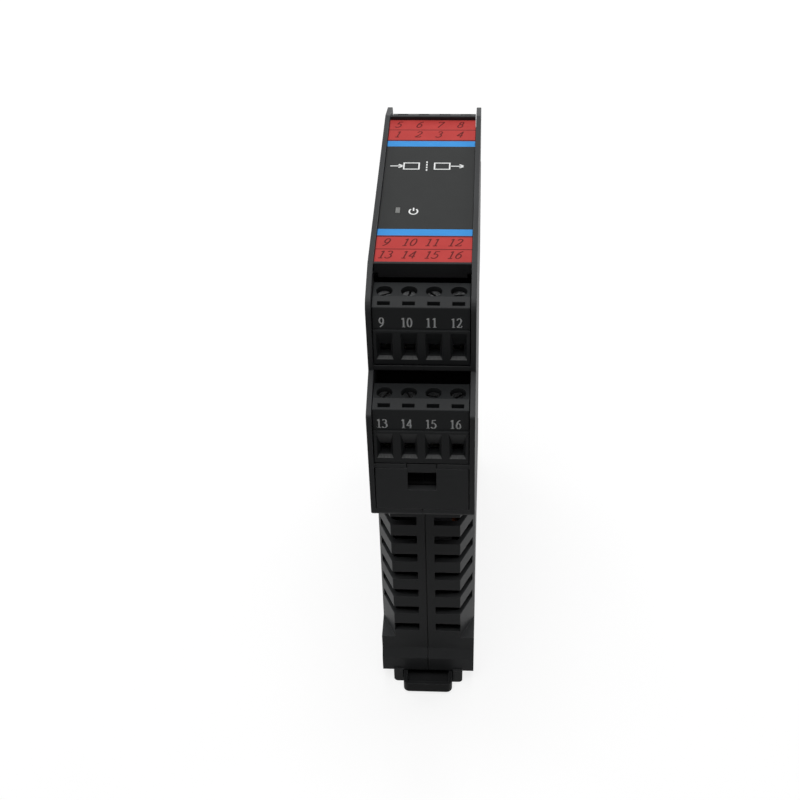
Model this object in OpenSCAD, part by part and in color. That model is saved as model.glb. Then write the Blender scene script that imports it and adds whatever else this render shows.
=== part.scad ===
// Signal isolator for a 35 mm top-hat rail: a narrow two-shell housing with stepped terminal noses,
// pull-off screw terminal plugs, a wrap-around vent grille and a sprung rail latch.
// X runs across the width, Y along the wire direction, Z away from the rail. Millimetres.
// The origin is the middle of the face that sits on the rail.

/* [Housing] */
// Thickness of the side walls
wall_t = 1.1; // [0.9:0.05:1.4]
// Height of the side walls' top edge above the rail
top_z = 113.7; // [113:0.1:116]
// Half the length of the level top edge
top_half_y = 29.8; // [28.5:0.1:30.5]
// How far the walls' nose corners stand in front of the plugs
nose_lead = 0.8; // [0.5:0.05:1.2]
// Height of the upper nose corner over its plugs
upper_nose_rise = 0.6; // [0.2:0.1:1]
// Depth of the lower nose corner under its plugs' top
lower_nose_drop = 1.7; // [1:0.1:2.2]
// Rounding of the upper nose corners
nose_tip_r = 2.8; // [1:0.1:3.2]
// Rounding of the level top edge's ends
top_tip_r = 2.6; // [0.8:0.1:3]
// Underside of the lower noses above the rail
nose_bottom_z = 60; // [58:0.1:62]
// Thickness of the noses' underside
nose_floor_t = 2.2; // [1.8:0.1:2.4]
// Rounding of the noses' lower edges
nose_edge_r = 1.2; // [0.6:0.1:1.6]
// Rounding of the side walls' other corners
corner_r = 0.8; // [0.4:0.1:1.2]
// Thickness of the shelves and bulkheads
web_t = 1.2; // [1:0.05:1.4]
// Outer radius of the bosses that line the shells up
boss_r = 2.1; // [1.9:0.05:2.2]
// Radius of the locating pins
boss_pin_r = 1.2; // [1:0.05:1.4]
// Length of the locating pins across the parting line
boss_pin_len = 3.5; // [2:0.1:4.5]
// Width of the groove along the parting line
seam_w = 0.3; // [0.1:0.05:0.4]
// Depth of that groove
seam_d = 0.25; // [0.15:0.05:0.4]

/* [Vent column] */
// Half the length of the vent column
column_half_y = 40.7; // [39.8:0.1:41.2]
// Thickness of the vent column's end walls
column_wall_t = 1.5; // [1.3:0.05:1.8]
// Width of the corner chamfer, seen from the end
chamfer_w = 3.3; // [2.8:0.1:3.8]
// Depth of the corner chamfer along the side
chamfer_d = 7; // [6:0.1:8]
// Thickness of the chamfered wall
chamfer_wall_t = 1.2; // [1:0.05:1.4]
// Slots in each half of an end
slot_count = 7; // [4:1:7]
// Height of a slot
slot_h = 2.6; // [2:0.1:3.2]
// Distance from slot to slot
slot_pitch = 6.1; // [5.8:0.1:6.3]
// Height of the lowest slot's middle above the rail
slot_first_z = 13.2; // [12.5:0.1:14.5]
// Half the width of the spine between the slots
spine_half_w = 1.95; // [1.5:0.05:2.5]
// Width left between a slot and the side face
slot_side_rest = 0.55; // [0.4:0.05:0.8]

/* [Base and rail] */
// Width of the rail
rail_w = 35; // [34.6:0.1:35.4]
// Thickness of the rail's flanges
rail_t = 1; // [0.9:0.05:1.1]
// Room at each edge of the rail
rail_gap = 0.5; // [0.3:0.05:0.8]
// Room under the rail's flanges
rail_under_gap = 0.25; // [0.15:0.05:0.4]
// Reach of the hook and the latch under the rail
hook_reach = 1.8; // [1.4:0.1:2.2]
// Thickness of the hook and latch tips
hook_t = 1.9; // [1.5:0.1:2.3]
// Half the length of the base flange
flange_half_y = 42; // [41.6:0.1:43]
// Top of the base flange above the rail
flange_top_z = 2.9; // [2:0.1:3.4]
// Top of the slope above the base flange
ramp_top_z = 5.5; // [4.5:0.1:7]
// Top of the square base above the rail
base_top_z = 9.5; // [8.5:0.1:10.5]
// Depth of the base below the rail's top face
base_drop = 1.5; // [1.3:0.1:1.6]
// Thickness of the base floor over the rail
base_floor_t = 3; // [2.4:0.1:3.4]
// Depth of the feet below the rail's top face
foot_depth = 5.2; // [5:0.1:6]
// Depth of the step beside the seat that rests on the rail
seat_relief = 0.2; // [0.1:0.05:0.3]
// Length of the fixed foot
fixed_foot_len = 20; // [14:0.5:23]

/* [Rail latch] */
// Width of the latch
latch_w = 12; // [10:0.1:13]
// Outer end of the latch from the rail's middle
latch_end_y = 46.3; // [45.5:0.1:48]
// Travel of the latch
latch_travel = 3.5; // [3:0.1:4]
// Room around the latch
latch_gap = 0.2; // [0.15:0.05:0.3]
// Thickness of the lips that carry the latch
guide_lip_t = 0.4; // [0.3:0.05:0.6]
// Reach of those lips under the latch
guide_lip_reach = 1.2; // [0.8:0.1:1.6]
// Width of each guide
guide_w = 2.3; // [1.8:0.1:2.6]
// Rounding of the guides' lower edges
guide_edge_r = 1; // [0.6:0.1:1.4]
// Outer end of the guides from the rail's middle
guide_end_y = 42.6; // [42.2:0.1:43]
// Wall of the pull tray
tray_wall_t = 0.9; // [0.7:0.05:1.2]
// Floor of the pull tray
tray_floor_t = 1; // [0.8:0.05:1.4]
// Length of the pull tray
tray_len = 6.4; // [5.6:0.1:7]
// Rounding of the tray's outer corners
tray_corner_r = 1.4; // [0.8:0.1:2]
// Length of the fitted latch spring
spring_len = 14.5; // [13.5:0.1:15.5]
// Mean radius of the latch spring
spring_r = 0.6; // [0.5:0.05:0.65]
// Radius of the spring wire
spring_wire_r = 0.15; // [0.1:0.01:0.18]
// Turns of the spring
spring_turns = 8; // [6:1:10]
// Length of the post behind the spring
post_len = 1.5; // [1.2:0.1:2]

/* [Terminal plugs] */
// Terminals in one plug
poles = 4; // [4:1:4]
// Distance from terminal to terminal
pole_pitch = 5.08; // [5:0.01:5.2]
// Distance from the outer terminals to the plug's sides
pole_edge = 2.33; // [2.25:0.01:2.6]
// Height of a plug
plug_h = 15.5; // [15:0.05:15.8]
// Depth of a plug's front block
block_d = 8; // [7.8:0.1:8.4]
// Length of the part that plugs in
plug_nose_len = 8.5; // [8:0.1:9]
// Room between a plug and the walls beside it
slide_gap = 0.2; // [0.15:0.01:0.3]
// Front of the upper plugs from the rail's middle
upper_front_y = 39.3; // [38.8:0.1:39.6]
// Front of the lower plugs from the rail's middle
lower_front_y = 48.9; // [48.4:0.1:49.4]
// Underside of the upper plugs above the rail
upper_plug_z = 94.4; // [94:0.1:94.6]
// Underside of the lower plugs above the rail
lower_plug_z = 75.4; // [75:0.1:75.6]
// Height of the ledge under the numbers
ledge_h = 9; // [8.6:0.1:9.6]
// Depth of the ledge
ledge_d = 0.4; // [0.2:0.05:0.6]
// Drop of the sloped front part of the top
brow_drop = 0.9; // [0.4:0.1:1.2]
// Depth of the sloped front part of the top
brow_d = 3.1; // [2.6:0.1:3.2]
// Width of a wire entry's mouth
mouth_w = 3.5; // [3.2:0.05:3.7]
// Lower edge of a mouth
mouth_low = 1.5; // [1.1:0.05:1.6]
// Upper edge of a mouth
mouth_high = 8.4; // [7:0.1:8.6]
// Width of the throat behind the mouth
throat_w = 2.3; // [2:0.05:2.45]
// Lower edge of the throat
throat_low = 1.95; // [1.9:0.05:2.1]
// Height of the throat
throat_h = 2.6; // [2.3:0.05:2.7]
// Depth of the funnel
funnel_d = 1.4; // [1:0.1:1.8]
// Distance of the marker slots from the front
marker_in = 0.6; // [0.5:0.05:0.9]
// Width of a marker slot
marker_w = 2.6; // [2.2:0.1:3]
// Breadth of a marker slot
marker_d = 0.9; // [0.6:0.05:1.1]
// Depth of a marker slot
marker_deep = 1.6; // [1:0.1:2]

/* [Clamps, screws and contacts] */
// Distance of the screw from the plug's front
screw_y = 4.9; // [4.85:0.05:5]
// Radius of the screw head
head_r = 1.4; // [1.2:0.05:1.45]
// Height of the screw head
head_h = 1.8; // [1.4:0.1:1.9]
// Depth of the head's top below the plug's top
head_sink = 1; // [0.4:0.1:1.1]
// Radius of the screw's shank
shank_r = 1; // [0.9:0.05:1.05]
// Width of the driver slot
driver_w = 0.5; // [0.4:0.05:0.6]
// Depth of the driver slot
driver_d = 0.7; // [0.5:0.05:0.9]
// Turn of each screw's slot from that of the screw before, in degrees
slot_turn = 53; // [0:1:90]
// Room around the turning screw
screw_gap = 0.3; // [0.2:0.05:0.35]
// Room in the clamp's thread
thread_gap = 0.15; // [0.1:0.01:0.2]
// Room between the screw head and its shelf
head_gap = 0.1; // [0.05:0.01:0.15]
// Width of a clamp
clamp_w = 3.4; // [3.2:0.05:3.45]
// Depth of a clamp
clamp_d = 3.4; // [3.2:0.05:3.5]
// Thickness of a clamp's sides
clamp_side_t = 0.45; // [0.35:0.01:0.5]
// Thickness of a clamp's floor
clamp_floor_t = 0.6; // [0.5:0.05:0.6]
// Thickness of a clamp's threaded top
clamp_top_t = 1.2; // [1:0.05:1.3]
// Room around a clamp
clamp_gap = 0.2; // [0.15:0.01:0.22]
// Rise of a clamp from open to tight
clamp_lift = 2; // [1.6:0.1:2.1]
// Thickness of a contact's bar
contact_t = 0.7; // [0.5:0.05:0.75]
// Outer width of a contact's socket
socket_w = 2.2; // [2.1:0.05:2.3]
// Thickness of the plug's nose above and below its sockets
nose_wall_t = 2; // [1.6:0.05:2.1]
// Room between a pin and its socket
pin_gap = 0.25; // [0.2:0.01:0.3]

/* [Headers and board] */
// Side of a header pin
pin_t = 1; // [0.8:0.05:1.05]
// Height of a header
header_h = 10; // [9.6:0.1:10.4]
// Side walls of a header
header_wall_t = 0.5; // [0.4:0.05:0.55]
// Back wall of a header
header_back_t = 1.3; // [1:0.05:1.3]
// Room between a plug's nose and its header
nose_gap = 0.3; // [0.2:0.01:0.35]
// Spacing of the pins' bent legs
leg_pitch = 2.2; // [2:0.05:2.4]
// Thickness of the board
board_t = 1.2; // [1:0.1:1.3]
// Room between the board and the side wall
board_rest = 0.65; // [0.5:0.05:0.8]
// Lower edge of the board above the rail
board_low_z = 9; // [8:0.1:12]
// Room between the board's lower part and the chamfered walls
board_edge_gap = 0.6; // [0.4:0.05:1]

/* [Front cover and light] */
// Half the length of the front cover
cover_half_y = 30; // [29.6:0.1:30.4]
// Thickness of the front cover
cover_t = 2.4; // [2.2:0.05:2.6]
// Depth of the cover's top under the walls' top
cover_sink = 0.1; // [0:0.05:0.3]
// Width of the lips at the cover's ends
lip_w = 0.65; // [0.5:0.05:1]
// Depth of the label's bed
label_bed = 1.1; // [0.9:0.05:1.6]
// Thickness of the label
label_t = 0.25; // [0.15:0.01:0.3]
// Height of the skirts at the cover's ends
skirt_h = 1.1; // [0.8:0.1:1.4]
// Place of the light across the width
light_x = -6.2; // [-7:0.1:-5]
// Place of the light along the length
light_y = -9; // [-11:0.1:-8]
// Width of the light's window
light_w = 1; // [0.9:0.1:1.6]
// Length of the light's window
light_l = 2.1; // [1.5:0.1:2.2]
// Room around fixed pieces
fit_gap = 0.1; // [0.05:0.01:0.15]

/* [End plates] */
// Thickness of an end plate
plate_t = 1.5; // [1.2:0.05:1.6]
// How far an end plate stands in front of the lower plugs
plate_lead = 0.4; // [0.2:0.05:0.5]
// Height of the sloped band at an end plate's top
plate_band_h = 2.4; // [2:0.1:3.2]
// Setback of that band's top
plate_band_d = 0.35; // [0.1:0.05:0.5]
// Width of the release window
window_w = 6.2; // [5.6:0.1:7]
// Lower edge of the window above the rail
window_low_z = 68; // [67.2:0.1:68.6]
// Height of the window
window_h = 4.7; // [4.4:0.1:5.2]
// Setback of the strip over the window
window_step = 0.5; // [0.3:0.05:0.8]

/* [Circuit] */
// Length of the transformer core's sides
core_l = 16; // [14:0.5:18]
// Width of the core's middle leg
core_leg_w = 4.5; // [4:0.1:5]
// Thickness of the core
core_t = 5; // [4.5:0.1:5.5]
// Thickness of the core's outer legs
core_side_w = 2.4; // [2:0.1:2.6]
// Thickness of the winding
winding_t = 2.8; // [2.4:0.1:3]
// Length of an isolator chip
chip_l = 9.6; // [9:0.1:10]
// Width of an isolator chip
chip_w = 6.4; // [6:0.1:6.8]
// Height of an isolator chip
chip_h = 3.3; // [3:0.1:3.6]
// Height of the chips' legs
chip_stand = 0.5; // [0.3:0.05:0.8]
// Radius of a capacitor
cap_r = 4; // [3.5:0.1:4.5]
// Height of a capacitor
cap_h = 11; // [9:0.5:13]

/* [Hidden] */
$fn = 48;
BANKS = ["1_4", "5_8", "9_12", "13_16"];
TERMINALS = [for (number = [1 : len(BANKS) * poles]) number];
SHELL = "#232425";
PLUG = "#26282a";
STEEL = "#b9bcc0";
BRASS = "#c9a45a";

// Widths follow from the terminals
plug_half_w = (poles - 1) / 2 * pole_pitch + pole_edge;
bay_half_w = plug_half_w + slide_gap;
half_w = bay_half_w + wall_t;
join = 0.4;
past = 1;

// Terminal tiers: outward distance of the plugs' front, and height of their underside
front_y = [upper_front_y, lower_front_y];
plug_z = [upper_plug_z, lower_plug_z];
nose_len_all = block_d + plug_nose_len;
header_front = block_d + 2 * nose_gap;
header_back = nose_len_all + nose_gap + header_back_t;
header_end = header_back + web_t;
shelf_top = -slide_gap;
bulkhead_top_z = [top_z - cover_sink - cover_t - fit_gap, upper_plug_z - slide_gap - web_t];

// Inside of a plug, from its front and underside
brow_z = plug_h - brow_drop;
pocket_w = clamp_w + 2 * clamp_gap;
pocket_d = clamp_d + 2 * clamp_gap;
pocket_low = clamp_low() - clamp_gap;
pocket_high = clamp_low() + clamp_h() + clamp_lift + screw_gap;
head_low = plug_h - head_sink - head_h;
contact_low = throat_low + throat_h + clamp_gap;
contact_z = contact_low + contact_t / 2;
contact_half_w = clamp_w / 2 - clamp_side_t - clamp_gap;
socket_h = socket_w;
cavity_half = socket_w / 2 + clamp_gap;
socket_front = block_d + past;
socket_len = plug_nose_len - past - pin_gap;
nose_low = contact_z - cavity_half - nose_wall_t;
nose_high = contact_z + cavity_half + nose_wall_t;
nose_half_w = bay_half_w - fit_gap - header_wall_t - nose_gap;
shank_low = contact_low + contact_t + screw_gap;
function clamp_low() = throat_low - clamp_floor_t - clamp_gap / 4;
function clamp_h() = clamp_floor_t + throat_h + 2 * clamp_gap + contact_t + screw_gap + clamp_top_t;

// Vent column: how far its chamfered walls stand out, and its inside
inner_y = column_half_y - column_wall_t;
slant = norm([chamfer_w, chamfer_d]);
chamfer_reach = ((half_w - chamfer_w) * chamfer_d + column_half_y * chamfer_w) / slant - chamfer_wall_t;
inner_x = (chamfer_reach * slant - inner_y * chamfer_w) / chamfer_d;
shoulder_y = column_half_y - chamfer_d - join;
nose_end_y = lower_front_y + nose_lead / 2;
function chamfer_y(x) = (chamfer_reach * slant - x * chamfer_d) / chamfer_w;

// Board plane, and where the header pins' legs go through it
board_face = bay_half_w - board_rest - board_t;
board_back = bay_half_w - board_rest;
leg_end = bay_half_w - board_rest / 3;
leg_start = header_end + 2 * pin_t;
board_half_y = min(chamfer_y(board_back), shoulder_y) - board_edge_gap;
board_mid_y = lower_front_y - header_end - join;
board_top_half_y = upper_front_y - header_end - join;
board_step_z = [lower_plug_z - slide_gap - web_t - join, upper_plug_z - slide_gap - web_t - join];
board_top_z = top_z - cover_sink - cover_t - skirt_h - join;

// Base and foot
rail_half = rail_w / 2 + rail_gap;
hook_y = rail_half - hook_reach;
seat_half_y = hook_y - 2 * fit_gap;
hook_top = -rail_t - rail_under_gap;
foot_half_w = latch_w / 2 + latch_gap + guide_w;
latch_top = -base_drop - latch_gap;
latch_low = -foot_depth + guide_lip_t + latch_gap;
post_y = flange_half_y - column_wall_t - 2 * latch_gap - latch_travel;
spring_y = post_y - post_len;
spring_z = (latch_low + tray_floor_t - base_drop) / 2;
spring_room = spring_r + spring_wire_r + latch_gap;

// End plates and cover
plate_low_z = nose_bottom_z + nose_floor_t + fit_gap;
plate_high_z = lower_plug_z - slide_gap - web_t - fit_gap;
plate_y = lower_front_y + plate_lead;
plate_back = plate_y - plate_t - fit_gap;
tongue_half_w = window_w / 2;
cover_top_z = top_z - cover_sink;
cover_low_z = cover_top_z - cover_t;
cover_half_w = bay_half_w - fit_gap;
ledge_w = 0.85;
ledge_drop = 1.2;
label_low_z = cover_top_z - label_bed;
arm_top_z = cover_low_z - 2 * past;
arm_h = 1.6;
led_h = 0.8;

// Points of an outline given as [a, b, radius], each sharp corner replaced by an arc
function unit(v) = v / norm(v);
function arc_at(before, at, after, r) =
    let (u = unit(before - at), v = unit(after - at), half = acos(u * v) / 2)
    let (middle = at + unit(u + v) * r / sin(half), reach = r / tan(half))
    let (a = at + u * reach - middle, b = at + v * reach - middle)
    [for (i = [0 : 6]) let (m = unit(a * (6 - i) + b * i)) middle + r * m];
function flat(p) = [p[0], p[1]];
function outline(p) =
    [for (i = [0 : len(p) - 1])
        let (before = flat(p[(i + len(p) - 1) % len(p)]), after = flat(p[(i + 1) % len(p)]))
        each p[i][2] > 0 ? arc_at(before, flat(p[i]), after, p[i][2]) : [flat(p[i])]];
function mirrored(p) =
    concat([for (q = p) [-q[0], q[1], q[2]]], [for (i = [len(p) - 1 : -1 : 0]) p[i]]);
function pole_x(i) = (i - (poles - 1) / 2) * pole_pitch;

// A box between two corners, a drawing in Y and Z carried along X, and one in X and Z carried along Y
module box(low, high) translate(low) cube(high - low);
module along_y(from, to) translate([0, to, 0]) rotate([90, 0, 0]) linear_extrude(to - from) children();
module along_x(from, to) translate([from, 0, 0]) rotate([90, 0, 90]) linear_extrude(to - from) children();

// Places its children at a bank of terminals: Y inward from the plugs' front, Z up from their underside
module at_bank(bank) {
    tier = bank == 0 || bank == 2 ? 0 : 1;
    rotate([0, 0, bank < 2 ? 180 : 0]) translate([0, -front_y[tier], plug_z[tier]]) children();
}

// Places its children at a numbered terminal
module at_terminal(number) {
    bank = floor((number - 1) / poles);
    side = bank < 2 ? -1 : 1;
    at_bank(bank) translate([side * pole_x((number - 1) % poles), 0, 0]) children();
}

// Side wall of the head, with the stepped noses of both ends
module head_wall() {
    nose = [
        [column_half_y - chamfer_d, nose_bottom_z, 0],
        [nose_end_y, nose_bottom_z, nose_edge_r],
        [lower_front_y + nose_lead, lower_plug_z + plug_h - lower_nose_drop, corner_r],
        [upper_front_y + nose_lead / 3, upper_plug_z - slide_gap - web_t, corner_r / 2],
        [upper_front_y + nose_lead, upper_plug_z + plug_h + upper_nose_rise, nose_tip_r],
        [top_half_y, top_z, top_tip_r]];
    along_x(bay_half_w, half_w) polygon(outline(mirrored(nose)));
}

// Plan of the vent column, with chamfered corners
module column_plan(half_y, half_x, cut_x, cut_y) {
    polygon([
        [-past, -half_y], [cut_x, -half_y], [half_x, -cut_y], [half_x, cut_y], [cut_x, half_y],
        [-past, half_y]]);
}

// Inside of the vent column between two heights
module column_room(low, high) {
    translate([0, 0, low]) linear_extrude(high - low)
        column_plan(inner_y, bay_half_w, inner_x, chamfer_y(bay_half_w));
}

// Vent column as a thin chamfered wall
module column() difference() {
    translate([0, 0, base_top_z - join]) linear_extrude(nose_bottom_z - base_top_z + 2 * join)
        column_plan(column_half_y, half_w, half_w - chamfer_w, column_half_y - chamfer_d);
    column_room(base_top_z - past, nose_bottom_z + past);
}

// Slots of one end, which run round the chamfer, apart from the lowest
module vent_slots() {
    for (k = [0 : slot_count - 1]) {
        middle = slot_first_z + k * slot_pitch;
        side = k == 0 ? half_w - chamfer_w : half_w - slot_side_rest;
        back = k == 0 ? column_half_y - column_wall_t - past : column_half_y - chamfer_d + slot_side_rest;
        box([spine_half_w, back, middle - slot_h / 2], [side, column_half_y + past, middle + slot_h / 2]);
    }
}

// Square base that sits on the rail, with a sloped flange at each end and closed corners at its top
module base() {
    outer = [
        [seat_half_y, 0, 0], [seat_half_y, seat_relief, 0], [rail_half, seat_relief, 0],
        [rail_half, -base_drop, 0], [flange_half_y, -base_drop, 0], [flange_half_y, flange_top_z, 0],
        [column_half_y, ramp_top_z, 0], [column_half_y, base_top_z, 0]];
    difference() {
        along_x(0, half_w) polygon(outline(mirrored(outer)));
        box([-past, -inner_y, base_floor_t], [bay_half_w, inner_y, base_top_z - web_t]);
        column_room(base_floor_t, base_top_z + past);
    }
}

// Shelves, bulkheads and nose floors that carry the headers, plugs and end plates of one end,
// and the wall behind the end plate's window
module webs() {
    along_x(0, bay_half_w + join) {
        for (tier = [0, 1]) {
            inner = front_y[tier] - header_end;
            shelf_z = plug_z[tier] + shelf_top;
            shelf_end = tier == 0 ? upper_front_y : plate_back;
            translate([inner, shelf_z - web_t]) square([shelf_end - inner, web_t]);
            bulkhead_low = plug_z[tier] + contact_z + pin_t;
            translate([inner, bulkhead_low])
                square([web_t - join, bulkhead_top_z[tier] - bulkhead_low + (tier == 0 ? 0 : join)]);
        }
        polygon(outline([
            [inner_y, nose_bottom_z, 0], [nose_end_y, nose_bottom_z, nose_edge_r],
            [nose_end_y, nose_bottom_z + nose_floor_t, 0], [inner_y, nose_bottom_z + nose_floor_t, 0]]));
    }
    lower_shelf_z = lower_plug_z + shelf_top;
    box([0, boss_y - web_t / 2, nose_bottom_z + nose_floor_t - join],
        [bay_half_w + join, boss_y + web_t / 2, lower_shelf_z - web_t + join]);
    box([tongue_half_w + slide_gap, plate_back - join, lower_shelf_z - web_t],
        [bay_half_w + join, lower_front_y, lower_shelf_z]);
    box([half_w - chamfer_w - past, shoulder_y, nose_bottom_z],
        [bay_half_w + join, column_half_y, nose_bottom_z + nose_floor_t]);
}

// Rounds the lower edge of one nose along its length
module nose_edge() {
    rounded_y = column_half_y - chamfer_d;
    centre = [half_w - nose_edge_r, nose_bottom_z + nose_edge_r];
    difference() {
        box([centre[0], rounded_y, nose_bottom_z - past],
            [half_w + past, lower_front_y + nose_lead + past, centre[1]]);
        translate([centre[0], rounded_y - past, centre[1]]) rotate([-90, 0, 0])
            cylinder(r = nose_edge_r, h = lower_front_y + nose_lead - rounded_y + 3 * past);
    }
}

// Half of the groove along the parting line of one end: up the base and the vent column, and on the nose
module seam() {
    along_x(-past, seam_w / 2) polygon([
        [flange_half_y - seam_d, -base_drop - past], [flange_half_y - seam_d, flange_top_z],
        [column_half_y - seam_d, ramp_top_z], [column_half_y - seam_d, nose_bottom_z],
        [flange_half_y + past, nose_bottom_z], [flange_half_y + past, -base_drop - past]]);
    box([-past, nose_end_y - seam_d, nose_bottom_z - past],
        [seam_w / 2, nose_end_y + past, nose_bottom_z + nose_floor_t + past]);
}

// Guide that carries one side of the latch, and half of the post that its spring pushes against
module latch_guide() {
    inner_side = latch_w / 2 + latch_gap;
    inner_end = -rail_half - past;
    along_y(-guide_end_y, inner_end) polygon(outline([
        [inner_side, join - base_drop, 0], [inner_side, guide_lip_t - foot_depth, 0],
        [inner_side - guide_lip_reach, guide_lip_t - foot_depth, 0],
        [inner_side - guide_lip_reach, -foot_depth, 0], [inner_side + guide_w, -foot_depth, guide_edge_r],
        [inner_side + guide_w, join - base_drop, 0]]));
    box([0, -post_y, latch_low + tray_floor_t + latch_gap],
        [spring_room - latch_gap, -post_y + post_len, join - base_drop]);
}

// Fixed foot, whose hook grips under the far edge of the rail
module fixed_foot() {
    bevel = foot_depth + hook_top - hook_t;
    along_x(0, foot_half_w) polygon([
        [hook_y, hook_top], [rail_half, hook_top], [rail_half, join - base_drop],
        [rail_half + fixed_foot_len, join - base_drop], [rail_half + fixed_foot_len, -foot_depth],
        [rail_half + bevel, -foot_depth], [hook_y, hook_top - hook_t]]);
}

// Where the locating bosses stand, in Y and Z
boss_y = (plate_y - plate_t + column_half_y - column_wall_t) / 2;
boss_z = nose_bottom_z + nose_floor_t + boss_r + fit_gap;
BOSSES = [[-boss_y, boss_z], [boss_y, boss_z], [0, base_floor_t + boss_r + fit_gap]];

// One half of the housing, on the side of +X, with everything that both halves share
module half_shell() {
    difference() {
        union() {
            head_wall();
            column();
            base();
            webs();
            mirror([0, 1, 0]) webs();
            latch_guide();
            fixed_foot();
            for (p = BOSSES) {
                translate([0, p[0], p[1]]) rotate([0, 90, 0]) cylinder(r = boss_r, h = bay_half_w + join);
            }
            box([bay_half_w - ledge_w, -top_half_y + past, cover_low_z - ledge_drop],
                [bay_half_w + join, top_half_y - past, cover_low_z]);
        }
        for (end = [0, 1]) {
            mirror([0, end, 0]) {
                vent_slots();
                nose_edge();
                seam();
            }
        }
        box([-half_w, -top_z, -top_z], [0, top_z, 2 * top_z]);
    }
}

// Left shell, whose bosses end in locating pins
module left_shell() color(SHELL) mirror([1, 0, 0]) {
    half_shell();
    for (p = BOSSES) {
        translate([-boss_pin_len, p[0], p[1]]) rotate([0, 90, 0])
            cylinder(r = boss_pin_r, h = boss_pin_len + past);
    }
}

// Right shell, whose bosses take the pins, with pads that hold the board
module right_shell() color(SHELL) {
    pad = 5;
    pad_rest = 3.5;
    pads = [[board_half_y - pad, board_low_z + pad], [board_top_half_y - pad, board_top_z - pad_rest]];
    difference() {
        half_shell();
        for (p = BOSSES) {
            translate([-past, p[0], p[1]]) rotate([0, 90, 0])
                cylinder(r = boss_pin_r + fit_gap, h = boss_pin_len + past + screw_gap);
        }
    }
    for (p = pads) {
        for (side = [-1, 1]) {
            translate([board_back, side * p[0] - pad / 2, p[1] - pad / 2])
                cube([board_rest + join, pad, pad]);
        }
    }
}

// Front cover between the walls, with a bed for the label, end lips and skirts
module front_cover() color("#2b2c2d") difference() {
    union() {
        box([-cover_half_w, -cover_half_y, cover_low_z], [cover_half_w, cover_half_y, cover_top_z]);
        for (end = [0, 1]) {
            skirt_half_w = bay_half_w - ledge_w - fit_gap;
            mirror([0, end, 0]) box([-skirt_half_w, cover_half_y - web_t, cover_low_z - skirt_h],
                [skirt_half_w, cover_half_y, cover_low_z + join]);
        }
    }
    box([-half_w, lip_w - cover_half_y, label_low_z], [half_w, cover_half_y - lip_w, top_z + past]);
    light_hole(fit_gap);
}

// Printed label film in the cover's bed
module front_label() color("#3c3e40") difference() {
    box([-cover_half_w, lip_w + fit_gap - cover_half_y, label_low_z],
        [cover_half_w, cover_half_y - lip_w - fit_gap, label_low_z + label_t]);
    light_hole(fit_gap);
}

// Upright hole for the light's window, with room on each side
module light_hole(room) {
    translate([light_x, light_y, (cover_low_z + top_z) / 2])
        cube([light_w + 2 * room, light_l + 2 * room, top_z - cover_low_z + 2 * past], center = true);
}

// Light pipe that carries the lamp's light from the board across to the window
module light_pipe() color("#c8ccce") {
    window_low = light_x - light_w / 2;
    translate([0, light_y + light_l / 2, 0]) rotate([90, 0, 0]) linear_extrude(light_l) polygon([
        [window_low, label_low_z + label_t], [window_low, arm_top_z - arm_h / 2],
        [window_low + arm_h / 2, arm_top_z - arm_h], [board_face - led_h - fit_gap, arm_top_z - arm_h],
        [board_face - led_h - fit_gap, arm_top_z], [light_x + light_w / 2, arm_top_z],
        [light_x + light_w / 2, label_low_z + label_t]]);
}

// Lamp on the board, behind the light pipe
module power_led() color("#d9e4c0") {
    translate([board_face - led_h, light_y - light_l / 2, arm_top_z - arm_h]) cube([led_h, light_l, arm_h]);
}

// End plate under the lower plug of the near end, with its release window and a tongue over it
module end_plate() color(SHELL) {
    half = bay_half_w - slide_gap;
    window_high = window_low_z + window_h;
    difference() {
        along_x(-half, half) polygon([
            [-plate_y, plate_low_z], [-plate_y, plate_high_z - plate_band_h],
            [plate_band_d - plate_y, plate_high_z], [plate_t - plate_y, plate_high_z],
            [plate_t - plate_y, plate_low_z]]);
        box([-window_w / 2, -plate_y - past, window_low_z],
            [window_w / 2, plate_t - plate_y + past, window_high]);
        box([-tongue_half_w, -plate_y - past, window_high - join],
            [tongue_half_w, window_step - plate_y, plate_high_z + past]);
    }
    box([-tongue_half_w, window_step - plate_y, window_high],
        [tongue_half_w, plate_t - plate_y, plate_high_z + web_t]);
}

// Circuit board, which stands on edge beside the right shell
module main_board() color("#1f5a38") difference() {
    half = [
        [board_half_y, board_low_z, 0], [board_half_y, board_step_z[0], 0],
        [board_mid_y, board_step_z[0], 0], [board_mid_y, board_step_z[1], 0],
        [board_top_half_y, board_step_z[1], 0], [board_top_half_y, board_top_z, 0]];
    along_x(board_face, board_back) polygon(outline(mirrored(half)));
    for (number = TERMINALS) {
        at_leg(number) rotate([0, 90, 0]) cylinder(r = pin_t * 0.8, h = 4 * half_w, center = true);
    }
}

// Middle of a pin's bent leg at its terminal
module at_leg(number) {
    bank = floor((number - 1) / poles);
    step = (poles - 1 - (number - 1) % poles) * leg_pitch;
    at_bank(bank) translate([0, leg_start + step, contact_z]) children();
}

// Header pins, bent over to the board: each runs in from its socket and then across
module header_pins() color(BRASS) {
    tip = socket_front + socket_len / 4;
    for (number = TERMINALS) {
        bank = floor((number - 1) / poles);
        x = pole_x((number - 1) % poles);
        step = (poles - 1 - (number - 1) % poles) * leg_pitch;
        at_terminal(number) box([-pin_t / 2, tip, contact_z - pin_t / 2],
            [pin_t / 2, leg_start + step + pin_t / 2, contact_z + pin_t / 2]);
        at_leg(number) rotate([0, 0, bank < 2 ? 180 : 0])
            box([x - pin_t / 2, -pin_t / 2, -pin_t / 2], [leg_end, pin_t / 2, pin_t / 2]);
    }
}

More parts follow.
